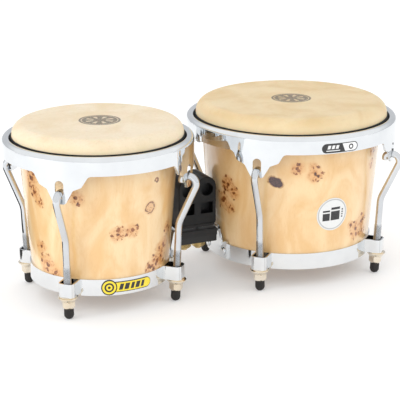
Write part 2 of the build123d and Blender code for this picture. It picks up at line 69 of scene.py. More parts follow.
# ---- the set ----
FLOOR_REACH = 14.0
FLOOR_COLOUR = (0.81, 0.81, 0.81, 1.0)
FLOOR_GLOW = 0.22
STUDIO_NEAR = (0.97, 0.97, 0.97, 1.0)
STUDIO_FAR = (0.6, 0.61, 0.63, 1.0)
STUDIO_STRENGTH = 1.08
# name, place, what it points at, width, height and power of each lamp
LIGHTS = (
    ("key", (-1.1, -1.5, 1.3), (0.0, 0.0, 0.08), 1.1, 1.1, 3.8),
    ("fill", (1.5, -1.3, 0.8), (0.05, 0.0, 0.08), 0.9, 1.2, 3.0),
    ("left", (-1.7, -0.1, 0.55), (-0.15, 0.0, 0.08), 0.5, 1.0, 7.5),
    ("top", (0.1, 0.4, 1.9), (0.0, 0.0, 0.1), 1.6, 1.0, 2.0),
)
# the dark card's corners, in metres to the camera's left of the middle and away from it
CARD_CORNERS = ((0.26, -0.12), (0.55, -0.12), (0.55, 0.14), (0.26, 0.14))
CARD_LIFT = Vector((0.0, 0.0, 0.002))

# ---- tuning hooks, the same sizes as their solids ----
ROD_RADIUS = 3.55 * MM
THREAD_RADIUS = 3.95 * MM
THREAD_ROOT_RADIUS = 3.3 * MM
THREAD_PITCH = 1.25 * MM
THREAD_TOP = 55.1 * MM
THREAD_FADE_TURNS = 2.5
ROD_CHAMFER = 0.8 * MM
ROD_END = 4.4 * MM
ROD_TILT = math.radians(2.75)
FOOT_INSET = 14.9 * MM
HOOK_TIP_INSET = 7.5 * MM
HOOK_TIP_Z = 124.1 * MM
HOOK_EYE_Z = 131.2 * MM
HOOK_OVERHANG = 11.5 * MM
HOOK_BEND_Z = 82.1 * MM
HOOK_BENDS = (4.5 * MM, 7.5 * MM, 25.0 * MM)

# ---- lug brackets ----
BRACKET_TOP = 37.9 * MM
BRACKET_NOSE = 6.6 * MM
BRACKET_SHEET = 2.0 * MM
BRACKET_INNER_HALF = 6.4 * MM

# ---- shells and heads ----
SHELL_TAPER = 0.0805  # how much radius a shell loses for each metre going down
SMALL_SHOULDER = 11.8 * MM
LARGE_SHOULDER = 13.4 * MM
SKIN_THICKNESS = 1.4 * MM
FACE_DIP = 0.22 * MM
PLEAT_DEPTH = 0.35 * MM
PRINT_RADIUS = 21.0 * MM
PRINT_BARS = 8

# ---- where the badges' middles stand, in degrees round their drums ----
SHELL_BADGE_TURN = -88.9
RIM_BADGE_TURN = -92.0
RING_BADGE_TURNS = (-104.7, -68.5)
MARK_SLANT = 0.3


def drum_facts(name, shoulder):
    """Where a drum stands and how big it is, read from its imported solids."""
    lo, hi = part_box(f"{name}_rim")
    skin_lo, skin_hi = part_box(f"{name}_head_skin")
    shell_lo, shell_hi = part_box(f"{name}_shell")
    ring_lo, ring_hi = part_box(f"{name}_bottom_ring")
    x = (lo.x + hi.x) / 2
    bracket_reach = (hi.x - lo.x) / 2 - FOOT_INSET + BRACKET_TOP * math.tan(ROD_TILT) + BRACKET_NOSE
    angles = []
    for number in range(1, 5):
        hook_lo, hook_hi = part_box(f"{name}_hook_{number}")
        middle = (hook_lo + hook_hi) / 2
        angles.append(math.atan2(middle.y, middle.x - x))
    return {
        "name": name,
        "x": x,
        "rim": (hi.x - lo.x) / 2,
        "skin": (skin_hi.x - skin_lo.x) / 2,
        "skin_low": skin_lo.z,
        "skin_top": skin_hi.z,
        "shell_top": (shell_hi.x - shell_lo.x) / 2,
        "shell_high": shell_hi.z,
        "ring": (ring_hi.x - ring_lo.x) / 2,
        "bracket_nose": bracket_reach,
        "lugs": angles,
        "shoulder": shoulder,
    }


SMALL = drum_facts("small", SMALL_SHOULDER)
LARGE = drum_facts("large", LARGE_SHOULDER)


def srgb(text):
    """A linear colour from six hex digits of display colour."""
    channels = [int(text[i : i + 2], 16) / 255 for i in (0, 2, 4)]
    linear = [c / 12.92 if c <= 0.04045 else ((c + 0.055) / 1.055) ** 2.4 for c in channels]
    return (*linear, 1.0)


# ---- shader building ----
class Shader:
    """A new material and short calls that add nodes to it."""

    def __init__(self, name, roughness=0.5, metallic=0.0):
        self.material = bpy.data.materials.new(name)
        self.material.use_nodes = True
        self.tree = self.material.node_tree
        self.surface = self.tree.nodes["Principled BSDF"]
        self.surface.inputs["Roughness"].default_value = roughness
        self.surface.inputs["Metallic"].default_value = metallic
        coords = self.tree.nodes.new("ShaderNodeTexCoord")
        self.position = coords.outputs["Object"]

    def feed(self, socket, value):
        """Put a number, colour, vector or another node's output into a socket."""
        if isinstance(value, bpy.types.NodeSocket):
            self.tree.links.new(value, socket)
        elif value is not None:
            socket.default_value = value

    def math(self, operation, a, b=None, clamp=False):
        node = self.tree.nodes.new("ShaderNodeMath")
        node.operation = operation
        node.use_clamp = clamp
        for socket, value in zip(node.inputs, (a, b)):
            self.feed(socket, value)
        return node.outputs[0]

    def plus(self, a, b):
        return self.math("ADD", a, b)

    def minus(self, a, b, clamp=False):
        return self.math("SUBTRACT", a, b, clamp=clamp)

    def times(self, a, b):
        return self.math("MULTIPLY", a, b)

    def larger(self, a, b):
        return self.math("MAXIMUM", a, b)

    def off(self, value, place):
        """How far value is from place, without a sign."""
        return self.math("ABSOLUTE", self.minus(value, place))

    def vector(self, operation, a, b=None, scale=None):
        node = self.tree.nodes.new("ShaderNodeVectorMath")
        node.operation = operation
        self.feed(node.inputs[0], a)
        if b is not None:
            self.feed(node.inputs[1], b)
        if scale is not None:
            self.feed(node.inputs["Scale"], scale)
        one_number = operation in ("DISTANCE", "LENGTH", "DOT_PRODUCT")
        return node.outputs["Value" if one_number else "Vector"]

    def parts(self, vector):
        node = self.tree.nodes.new("ShaderNodeSeparateXYZ")
        self.feed(node.inputs[0], vector)
        return node.outputs[0], node.outputs[1], node.outputs[2]

    def combine(self, x, y, z):
        node = self.tree.nodes.new("ShaderNodeCombineXYZ")
        for socket, value in zip(node.inputs, (x, y, z)):
            self.feed(socket, value)
        return node.outputs[0]

    def step(self, value, low, high, start=0.0, end=1.0):
        """A smooth change from start to end as value goes from low to high."""
        node = self.tree.nodes.new("ShaderNodeMapRange")
        node.interpolation_type = "SMOOTHSTEP"
        self.feed(node.inputs["Value"], value)
        ends = {"From Min": low, "From Max": high, "To Min": start, "To Max": end}
        for socket, number in ends.items():
            self.feed(node.inputs[socket], number)
        return node.outputs[0]

    def fade(self, value, low, high):
        """One below low, falling smoothly to nothing at high."""
        return self.step(value, low, high, 1.0, 0.0)

    def noise(self, vector, scale, detail=3.0, rough=0.5, distortion=0.0, colour=False):
        node = self.tree.nodes.new("ShaderNodeTexNoise")
        self.feed(node.inputs["Vector"], vector)
        self.feed(node.inputs["Scale"], scale)
        self.feed(node.inputs["Detail"], detail)
        self.feed(node.inputs["Roughness"], rough)
        self.feed(node.inputs["Distortion"], distortion)
        return node.outputs["Color" if colour else "Fac"]

    def shaken(self, vector, scale, amount, detail, rough):
        """A vector pushed about by noise, which keeps hard outlines from looking drawn."""
        push = self.noise(self.position, scale, detail=detail, rough=rough, colour=True)
        push = self.vector("SUBTRACT", push, (0.5, 0.5, 0.5))
        return self.vector("ADD", vector, self.vector("SCALE", push, scale=amount))

    def cells(self, vector, scale):
        """Voronoi cells: distance to the nearest point, and each cell's own colour."""
        node = self.tree.nodes.new("ShaderNodeTexVoronoi")
        self.feed(node.inputs["Vector"], vector)
        self.feed(node.inputs["Scale"], scale)
        return node.outputs["Distance"], node.outputs["Color"]

    def mix(self, factor, a, b):
        node = self.tree.nodes.new("ShaderNodeMix")
        node.data_type = "RGBA"
        self.feed(node.inputs[0], factor)
        self.feed(node.inputs[6], a)
        self.feed(node.inputs[7], b)
        return node.outputs[2]

    def stretched(self, x, y, z):
        """Position with each axis scaled, for grain that runs one way."""
        return self.vector("MULTIPLY", self.position, (x, y, z))

    def bump(self, height, distance, strength):
        node = self.tree.nodes.new("ShaderNodeBump")
        self.feed(node.inputs["Height"], height)
        self.feed(node.inputs["Distance"], distance)
        self.feed(node.inputs["Strength"], strength)
        self.feed(self.surface.inputs["Normal"], node.outputs[0])

    def colour(self, value):
        self.feed(self.surface.inputs["Base Color"], value)

    def roughness(self, value):
        self.feed(self.surface.inputs["Roughness"], value)

    def set(self, **sockets):
        """Fixed values on the shader's own sockets, named with underscores for spaces."""
        for key, value in sockets.items():
            self.surface.inputs[key.replace("_", " ")].default_value = value


def wear(obj, material):
    """Give every slot of an object this material."""
    if not obj.data.materials:
        obj.data.materials.append(material)
    for slot in obj.material_slots:
        slot.material = material


# ---- wood ----
# knots of each drum as (degrees round the drum, height in mm, size in mm)
SMALL_BURLS = (
    (-169, 134, 12), (-166, 121, 9), (-161, 112, 7), (-128, 122, 9), (-97, 84, 9), (-86, 86, 8),
    (-46, 78, 8), (-57, 60, 7), (-59, 47, 11), (-67, 42, 8), (-51, 62, 8), (-54, 50, 9),
    (-158, 47, 12), (-164, 64, 8), (-150, 40, 8),
    (20, 118, 13), (48, 70, 13), (75, 138, 9), (100, 60, 14), (128, 104, 12), (160, 75, 13),
)
SMALL_EYES = ((-65, 133, 2.2), (-70.8, 106, 5.4))
LARGE_BURLS = (
    (-114, 130, 8), (-102.5, 123, 9), (-104, 131, 6),
    (-163, 104, 11), (-158, 97, 8), (-169, 86, 11), (-163, 80, 8),
    (-66, 55, 11), (-59, 62, 9), (-57, 50, 8), (-72, 62, 5), (-52, 138, 9), (-53, 122, 7),
    (15, 108, 15), (40, 60, 14), (66, 130, 12), (95, 88, 15), (125, 128, 11), (150, 62, 14),
)
LARGE_EYES = ((-30, 96, 5.0), (110, 46, 4.5))
LARGE_OVAL_KNOT = (-127.6, 115, 7.6)
# pale and deep tone of each veneer
SMALL_WOODS = ("F3D5A5", "E8BC7F")
LARGE_WOODS = ("F4D4A2", "E8BC7F")


def on_shell_radius(drum, height):
    """The shell's outer radius at a height in mm."""
    return drum["shell_top"] - (drum["shell_high"] - height * MM) * SHELL_TAPER


def on_shell(drum, degrees, height):
    """A point on the shell's outside, from an angle and a height in mm."""
    radius = on_shell_radius(drum, height)
    angle = math.radians(degrees)
    return (drum["x"] + radius * math.cos(angle), radius * math.sin(angle), height * MM)


def add_burls(s, tone, drum, burls, warped):
    """Lay burl clusters over the wood: an amber stain, red-brown blots, a dark middle one."""
    field = None
    middle = None
    for degrees, height, size in burls:
        away = s.vector("DISTANCE", warped, on_shell(drum, degrees, height))
        near = s.fade(away, size * MM * 0.2, size * MM * 1.5)
        spot = s.fade(away, size * MM * 0.12, size * MM * 0.32)
        field = near if field is None else s.larger(field, near)
        middle = spot if middle is None else s.larger(middle, spot)
    inside = s.step(field, 0.1, 0.5)
    stain = s.noise(s.position, 260.0, detail=4.0, rough=0.65)
    tone = s.mix(s.times(s.step(field, 0.0, 0.9), 0.5), tone, srgb("DD9A57"))
    blotchy = s.times(s.step(field, 0.2, 0.9), s.step(stain, 0.46, 0.62))
    tone = s.mix(s.times(blotchy, 0.6), tone, srgb("BA7029"))
    frayed = s.shaken(warped, 520.0, 0.0042, detail=3.0, rough=0.7)
    speck, own = s.cells(frayed, 200.0)
    chosen = s.parts(own)[0]
    reach = s.times(s.step(chosen, 0.1, 0.9, 0.02, 0.44), inside)
    depth = s.minus(reach, speck)
    halo = s.larger(s.times(s.step(depth, -0.18, 0.0), inside), s.step(middle, 0.0, 0.5))
    blot = s.larger(s.times(s.step(depth, -0.05, 0.05), inside), s.step(middle, 0.3, 0.8))
    heart = s.larger(s.step(depth, 0.02, 0.16), s.step(middle, 0.6, 1.0))
    heart = s.times(heart, s.step(stain, 0.42, 0.6))
    tone = s.mix(s.times(halo, 0.6), tone, srgb("B76B24"))
    tone = s.mix(s.times(blot, 0.85), tone, srgb("884710"))
    return s.mix(s.times(heart, 0.9), tone, srgb("3A1B05")), heart


def add_eyes(s, tone, drum, eyes, warped):
    """Lay ringed eyes over the wood: one thin broken dark ring with fine marks inside."""
    for degrees, height, size in eyes:
        away = s.vector("DISTANCE", warped, on_shell(drum, degrees, height))
        line = s.fade(s.off(away, size * MM), 0.35 * MM, 1.1 * MM)
        gaps = s.step(s.noise(s.position, 330.0, detail=2.0), 0.3, 0.45)
        around = s.fade(away, size * MM, size * MM * 1.7)
        tone = s.mix(s.times(around, 0.45), tone, srgb("D08D50"))
        tone = s.mix(s.times(s.times(line, gaps), 0.9), tone, srgb("6A3517"))
        within = s.fade(away, size * MM * 0.4, size * MM)
        marks = s.step(s.noise(s.position, 520.0, detail=3.0, rough=0.7), 0.5, 0.62)
        tone = s.mix(s.times(s.times(within, marks), 0.75), tone, srgb("93501F"))
    return tone


def add_oval_knot(s, tone, drum, oval, warped):
    """Lay one sound dark knot over the wood, longer than wide, with a pale edge."""
    degrees, height, size = oval
    slope = 0.42  # the knot leans: how far it drops for each unit along the shell
    away = s.vector("SUBTRACT", warped, on_shell(drum, degrees, height))
    angle = math.radians(degrees)
    along = Vector((-math.sin(angle), math.cos(angle), -slope)).normalized()
    across = Vector((-math.sin(angle) * slope, math.cos(angle) * slope, 1.0)).normalized()
    outward = Vector((math.cos(angle), math.sin(angle), 0.0))
    reaches = ((along, size * MM), (across, size * MM * 0.68), (outward, 4.0 * size * MM))
    shares = [
        s.math("DIVIDE", s.vector("DOT_PRODUCT", away, tuple(way)), reach)
        for way, reach in reaches
    ]
    around = s.vector("LENGTH", s.combine(*shares))
    edge = s.fade(around, 1.0, 1.3)
    hollow = s.fade(around, 0.9, 1.04)
    grit = s.noise(s.position, 600.0, detail=3.0)
    core = s.mix(s.step(grit, 0.35, 0.7), srgb("2E1416"), srgb("553030"))
    tone = s.mix(s.times(edge, 0.8), tone, srgb("A9713F"))
    return s.mix(hollow, tone, core), hollow


def burl_wood(drum, burls, eyes, oval, pale, deep):
    """Pale lacquered burl veneer: soft cloudy figure, clusters of brown specks, ringed eyes."""
    s = Shader(f"{drum['name']}_burl_wood", roughness=0.34)
    warped = s.shaken(s.position, 170.0, 0.006, detail=4.0, rough=0.6)

    # cloudy light and dark figure, with faint upright grain lines over it
    figure = s.noise(s.stretched(30.0, 30.0, 14.0), 1.0, detail=4.0, rough=0.5, distortion=1.4)
    mottle = s.noise(s.stretched(130.0, 130.0, 60.0), 1.0, detail=4.0, rough=0.6, distortion=0.8)
    streaks = s.noise(s.stretched(330.0, 330.0, 12.0), 1.0, detail=4.0, rough=0.6, distortion=0.3)
    pores = s.noise(s.stretched(1500.0, 1500.0, 160.0), 1.0, detail=2.0)
    tone = s.mix(s.step(figure, 0.3, 0.7), srgb(pale), srgb(deep))
    tone = s.mix(s.step(mottle, 0.5, 0.78, 0.0, 0.3), tone, srgb("E3AE70"))
    tone = s.mix(s.step(streaks, 0.52, 0.8, 0.0, 0.14), tone, srgb("D39F62"))
    tone = s.mix(s.step(pores, 0.55, 0.75, 0.0, 0.12), tone, srgb("B97C47"))

    tone, heart = add_burls(s, tone, drum, burls, warped)
    tone = add_eyes(s, tone, drum, eyes, warped)
    grain = s.minus(s.times(streaks, 0.4), s.times(heart, 0.8))
    grain = s.minus(grain, s.times(pores, 0.2))
    if oval is not None:
        tone, hollow = add_oval_knot(s, tone, drum, oval, warped)
        grain = s.minus(grain, s.times(hollow, 0.6))
    s.colour(tone)
    s.bump(grain, 0.00012, 0.3)
    s.roughness(s.step(streaks, 0.3, 0.8, 0.3, 0.42))
    s.set(Coat_Weight=1.0, Coat_Roughness=0.14, Coat_IOR=1.6)
    return s.material


# ---- metals ----
def chrome(name, tint="DEE1E4", sheen="E6E9EB", rough=0.04, smear=0.035, darkened=None):
    """Bright plating: near-mirror with faint polishing smears; darkened(s) masks where it turns to
    dark steel, which inside the brackets is painted shade.
    """
    s = Shader(name, metallic=1.0)
    smears = s.noise(s.position, 38.0, detail=3.0, rough=0.5)
    specks = s.noise(s.position, 900.0, detail=2.0)
    tone = s.mix(s.step(smears, 0.25, 0.75), srgb(tint), srgb(sheen))
    shine = s.step(smears, 0.3, 0.8, rough, rough + smear)
    shine = s.plus(shine, s.step(specks, 0.6, 0.8, 0.0, 0.02))
    if darkened is not None:
        dark_part = darkened(s)
        # dark steel colour over the masked part: painted shade where the mask is the brackets'
        # inside
        tone = s.mix(dark_part, tone, s.mix(s.step(specks, 0.4, 0.7), srgb("2A2724"), srgb("4C4844")))
        shine = s.plus(shine, s.times(dark_part, 0.4))
    s.colour(tone)
    s.roughness(shine)
    s.bump(s.noise(s.position, 30.0, detail=1.0), 0.000008, 0.1)
    return s.material


def bracket_inner_shade(drum):
    """Mask of the inner faces of the drum's four lug brackets, where shade is painted as dark
    steel.
    """

    def mask(s):
        x, y = s.parts(s.position)[:2]
        x = s.minus(x, drum["x"])
        turn = drum["lugs"][0]
        out = s.plus(s.times(x, math.cos(turn)), s.times(y, math.sin(turn)))
        side = s.minus(s.times(y, math.cos(turn)), s.times(x, math.sin(turn)))
        out, side = s.math("ABSOLUTE", out), s.math("ABSOLUTE", side)
        along, across = s.larger(out, side), s.math("MINIMUM", out, side)
        narrow = s.fade(across, BRACKET_INNER_HALF, BRACKET_INNER_HALF + 0.8 * MM)
        nose = drum["bracket_nose"] - BRACKET_SHEET
        return s.times(narrow, s.fade(along, nose + 0.1 * MM, nose + 0.8 * MM))

    return mask


def thread_darkening(s):
    """Mask that darkens the thread at the foot of a hook, at a quarter strength, fading out at the
    thread's top.
    """
    z = s.parts(s.position)[2]
    return s.times(s.fade(z, THREAD_TOP - 7.0 * MM, THREAD_TOP), 0.25)


def machined(name, light, dark, rough=0.28):
    """Turned or plated steel and brass: fine streaks and darker, rougher patches."""
    s = Shader(name, metallic=1.0)
    lines = s.noise(s.stretched(90.0, 90.0, 2600.0), 1.0, detail=2.0)
    patches = s.noise(s.position, 160.0, detail=4.0)
    tone = s.mix(s.step(patches, 0.35, 0.7), srgb(light), srgb(dark))
    s.colour(s.mix(s.step(lines, 0.4, 0.7, 0.0, 0.4), tone, srgb(dark)))
    s.roughness(s.step(patches, 0.3, 0.8, rough, rough + 0.14))
    s.bump(lines, 0.00004, 0.3)
    return s.material


# ---- soft and moulded materials ----
# pale and deep tone of each head, and how far its print sits from the middle along X
SMALL_HIDE = ("EADAC0", "E1CDAC", 2.0 * MM)
LARGE_HIDE = ("E1CBA3", "D6BA8B", 0.0)


def rawhide(drum, pale, deep, shift):
    """Cream buffalo skin: mottled, with a few long fibres, a shoulder painted paler as a highlight,
    and a printed disc.
    """
    s = Shader(f"{drum['name']}_rawhide", roughness=0.58)
    mottle = s.noise(s.position, 26.0, detail=5.0, rough=0.55, distortion=0.5)
    fine = s.noise(s.position, 420.0, detail=3.0, rough=0.6)
    fibres = s.noise(s.stretched(60.0, 900.0, 60.0), 1.0, detail=3.0, distortion=1.2)
    tone = s.mix(s.step(mottle, 0.3, 0.7), srgb(pale), srgb(deep))
    tone = s.mix(s.step(fine, 0.45, 0.75, 0.0, 0.25), tone, srgb("CDB48A"))
    tone = s.mix(s.step(fibres, 0.62, 0.75, 0.0, 0.22), tone, srgb("C2A679"))
    x, y, z = s.parts(s.position)
    print_x = drum["x"] + shift
    flat = s.combine(s.minus(x, print_x), y, 0.0)
    out = s.vector("LENGTH", flat)
    # the lower band of the shoulder is painted paler: a painted highlight where light catches it
    low = s.fade(z, drum["skin_top"] - 0.012, drum["skin_top"] - 0.001)
    tone = s.mix(s.times(low, 0.45), tone, srgb("F2DDB6"))
    # printed disc: grey-brown ink, a pale ring and a rosette of pale bars
    ink_break = s.step(s.noise(s.position, 800.0, detail=2.0), 0.3, 0.55, 0.55, 0.9)
    disc = s.fade(out, PRINT_RADIUS - 0.4 * MM, PRINT_RADIUS + 0.2 * MM)
    ring = s.fade(s.off(out, PRINT_RADIUS * 0.87), 0.25 * MM, 0.7 * MM)
    turn = s.math("ARCTAN2", y, s.minus(x, print_x))
    bars = s.step(s.math("COSINE", s.times(turn, PRINT_BARS)), 0.25, 0.5)
    band = s.fade(s.off(out, PRINT_RADIUS * 0.5), PRINT_RADIUS * 0.16, PRINT_RADIUS * 0.2)
    blank = s.larger(ring, s.times(bars, band))
    ink = s.times(s.times(disc, s.minus(1.0, s.times(blank, 0.75))), ink_break)
    tone = s.mix(ink, tone, srgb("5A5248"))
    s.colour(tone)
    s.roughness(s.step(mottle, 0.3, 0.7, 0.5, 0.66))
    s.bump(s.plus(fine, s.times(fibres, 0.6)), 0.0002, 0.35)
    s.set(Subsurface_Weight=0.12, Subsurface_Scale=0.004, Sheen_Weight=0.05)
    return s.material


def moulded(name, dark, light, rough, grain=1500.0, gloss=0.5):
    """Plastic, rubber or paint: fine pebbled grain, dusty lighter patches."""
    s = Shader(name)
    pebble = s.noise(s.position, grain, detail=3.0, rough=0.6)
    dust = s.noise(s.position, 60.0, detail=5.0, rough=0.65)
    tone = s.mix(s.step(dust, 0.35, 0.75), srgb(dark), srgb(light))
    s.colour(s.mix(s.step(pebble, 0.5, 0.8, 0.0, 0.4), tone, srgb(light)))
    s.roughness(s.step(dust, 0.3, 0.8, rough, rough + 0.15))
    s.bump(pebble, 0.00006, 0.6)
    s.set(Specular_IOR_Level=gloss)
    return s.material


# ---- badges: plain generic marks, no lettering ----
def badge_place(s, drum, radius, degrees, height):
    """Distances in mm from a badge's middle: u round the drum, v up."""
    x, y, z = s.parts(s.position)
    turn = s.math("ARCTAN2", y, s.minus(x, drum["x"]))
    u = s.times(s.minus(turn, math.radians(degrees)), radius / MM)
    v = s.math("DIVIDE", s.minus(z, height * MM), MM)
    return u, v


def bar(s, u, v, centre, half):
    """An upright rectangle with slightly soft edges, as a mask."""
    soft = 0.12
    across = s.minus(s.off(u, centre[0]), half[0])
    along = s.minus(s.off(v, centre[1]), half[1])
    return s.fade(s.larger(across, along), -soft, soft)


def ring_line(s, distance, radius, full, gone):
    """A ring as a mask: full within so many mm of its radius, and gone further out."""
    return s.fade(s.off(distance, radius), full, gone)


def pill_distance(s, u, v, half):
    """Distance in mm from the middle line of a pill shape."""
    past = s.larger(s.minus(s.math("ABSOLUTE", u), half), 0.0)
    return s.vector("LENGTH", s.combine(past, v, 0.0))


def any_of(s, masks):
    """One mask from several: marked where any of them is."""
    total = masks[0]
    for mask in masks[1:]:
        total = s.larger(total, mask)
    return total


def enamel(s, tone):
    """Printed badge finish: slight print grain under a clear coat."""
    grain = s.noise(s.position, 1400.0, detail=2.0)
    s.colour(s.mix(s.step(grain, 0.5, 0.8, 0.0, 0.12), tone, srgb("8C8C88")))
    s.roughness(s.step(grain, 0.3, 0.8, 0.22, 0.34))
    s.bump(grain, 0.00003, 0.3)
    s.set(Coat_Weight=0.5, Coat_Roughness=0.08)
    return s.material


def shell_badge():
    """White disc with a plain picture of two drums, small blocks beside it and a grey ring of
    painted shade at its edge.
    """
    lo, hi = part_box("large_shell_badge")
    s = Shader("shell_badge_enamel")
    height = (lo.z + hi.z) / 2 / MM
    radius = on_shell_radius(LARGE, height)
    u, v = badge_place(s, LARGE, radius, SHELL_BADGE_TURN, height)
    drums = [bar(s, u, v, (-7.2, -1.1), (4.0, 5.6)), bar(s, u, v, (3.2, 0.3), (5.2, 7.0))]
    slots = [bar(s, u, v, (-7.2, 1.9), (4.2, 0.7)), bar(s, u, v, (3.2, 3.9), (5.4, 0.8))]
    blocks = [bar(s, u, v, (11.4, k * 2.6 - 3.9), (0.8, 0.8)) for k in range(4)]
    marks = s.minus(any_of(s, drums), any_of(s, slots), clamp=True)
    marks = any_of(s, [marks, *blocks])
    away = s.vector("LENGTH", s.combine(u, v, 0.0))
    # grey ring at the badge's edge: painted shade
    line = ring_line(s, away, 15.9, 0.3, 0.9)
    tone = s.mix(marks, srgb("E6E7E6"), srgb("141517"))
    return enamel(s, s.mix(s.times(line, 0.7), tone, srgb("9C9EA0")))


def rim_badge():
    """Pill, half dark and half light inside a dark line, with plain blocks for marks."""
    lo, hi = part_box("large_rim_badge")
    s = Shader("rim_badge_enamel")
    u, v = badge_place(s, LARGE, LARGE["rim"], RIM_BADGE_TURN, (lo.z + hi.z) / 2 / MM)
    half_length, half_height = 20.0, (hi.z - lo.z) / 2 / MM
    middle = pill_distance(s, u, v, half_length - half_height)
    line = s.step(middle, half_height - 1.0, half_height - 0.7)
    dark_half = s.fade(s.plus(u, s.times(v, 0.4)), 3.4, 3.8)
    tone = s.mix(dark_half, srgb("F1F2F2"), srgb("1B1C1E"))
    leaning = s.minus(u, s.times(v, MARK_SLANT))
    blocks = any_of(s, [bar(s, leaning, v, (c, 1.0), (1.5, 1.8)) for c in (-12.6, -8.2, -3.8)])
    under = bar(s, u, v, (-8.0, -2.6), (7.4, 0.45))
    tone = s.mix(any_of(s, [blocks, under]), tone, srgb("E9EAEA"))
    dot = s.vector("LENGTH", s.combine(s.minus(u, 12.0), v, 0.0))
    dot_ring = ring_line(s, dot, 2.1, 0.5, 0.8)
    tone = s.mix(any_of(s, [dot_ring, line]), tone, srgb("1B1C1E"))
    return enamel(s, tone)


def ring_badge():
    """Yellow disc and pill inside a black line, with plain black blocks for marks."""
    lo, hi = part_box("small_ring_badge")
    s = Shader("ring_badge_enamel")
    height = (lo.z + hi.z) / 2 / MM
    u, v = badge_place(s, SMALL, SMALL["ring"], RING_BADGE_TURNS[0], height)
    disc = s.vector("LENGTH", s.combine(u, v, 0.0))
    end = SMALL["ring"] / MM * math.radians(RING_BADGE_TURNS[1] - RING_BADGE_TURNS[0])
    along = s.minus(u, end / 2)
    pill = pill_distance(s, along, v, end / 2 - 5.3)
    disc_line = ring_line(s, disc, 7.3, 0.45, 0.7)
    pill_line = s.times(s.step(pill, 4.45, 4.7), s.step(disc, 7.0, 7.4))
    leaning = s.minus(u, s.times(v, MARK_SLANT))
    marks = [ring_line(s, disc, 3.9, 0.7, 1.0), s.fade(disc, 1.2, 1.6)]
    for place, width in ((12.2, 1.9), (18.0, 2.3), (24.0, 1.7), (29.6, 2.2), (35.2, 1.6)):
        marks.append(bar(s, leaning, v, (place, 0.0), (width, 3.1)))
    tone = s.mix(any_of(s, [disc_line, pill_line, *marks]), srgb("F4DC2E"), srgb("141414"))
    return enamel(s, tone)


# ---- mesh building ----
def mesh_object(name, verts, faces, material, body):
    """A smooth-shaded piece on a body, or on none when body is None."""
    mesh = bpy.data.meshes.new(name)
    mesh.from_pydata(verts, [], faces)
    mesh.validate()
    mesh.update()
    obj = bpy.data.objects.new(name, mesh)
    bpy.context.scene.collection.objects.link(obj)
    mesh.polygons.foreach_set("use_smooth", [True] * len(mesh.polygons))
    wear(obj, material)
    if body is not None:
        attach(obj, body)
    return obj


def rounded_path(points, radii, step):
    """Points along straight runs joined by arcs, in a plane, a step apart in the bends."""
    path = [Vector(points[0])]
    for before, corner, after, radius in zip(points, points[1:], points[2:], radii):
        corner = Vector(corner)
        back = (Vector(before) - corner).normalized()
        on = (Vector(after) - corner).normalized()
        half = back.angle(on) / 2
        centre = corner + (back + on).normalized() * (radius / math.sin(half))
        start = corner + back * (radius / math.tan(half))
        end = corner + on * (radius / math.tan(half))
        first = start - centre
        sweep = (end - centre).angle_signed(first)
        count = max(4, int(abs(sweep) * radius / step))
        for k in range(count + 1):
            path.append(centre + Matrix.Rotation(sweep * k / count, 2) @ first)
    path.append(Vector(points[-1]))
    return path


def evenly(path, spacing):
    """The same path with extra points so that no gap is longer than spacing."""
    out = [path[0]]
    for a, b in zip(path, path[1:]):
        pieces = max(1, math.ceil((b - a).length / spacing))
        out += [a.lerp(b, k / pieces) for k in range(1, pieces + 1)]
    return out


